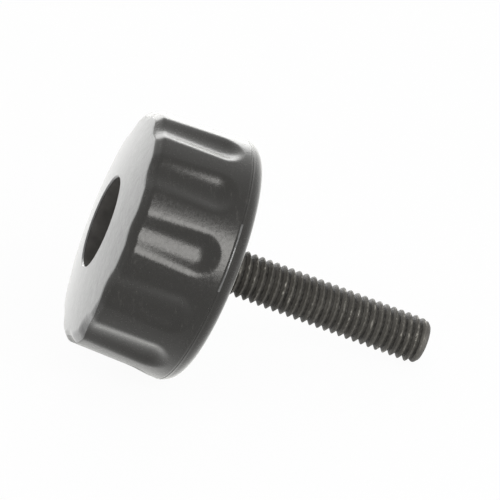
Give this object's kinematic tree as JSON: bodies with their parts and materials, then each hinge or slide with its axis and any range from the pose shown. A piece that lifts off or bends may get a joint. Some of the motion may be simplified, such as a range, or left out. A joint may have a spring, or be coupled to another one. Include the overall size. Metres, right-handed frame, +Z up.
{
  "type": "knurled knob",
  "caption": "Round clamping knob with a fluted plastic grip, a crowned face with an open recess, and a long threaded steel stud.",
  "frame": {"origin": "where the axis of the stud leaves the flat base of the knob", "axes": "the part lies at rest on its rim and the end of its thread: +X runs level from the knob towards the tip of the stud, +Z up, and the axis of the stud lies in the XZ plane"},
  "size_m": [0.0459, 0.0316, 0.0333],
  "materials": {
    "black_plastic": "satin moulded, worn",
    "black_steel": "black oxide, lightly oiled"
  },
  "bodies": {
    "root": {"knob_body": "black_plastic", "screw": "black_steel"}
  },
  "joints": []
}
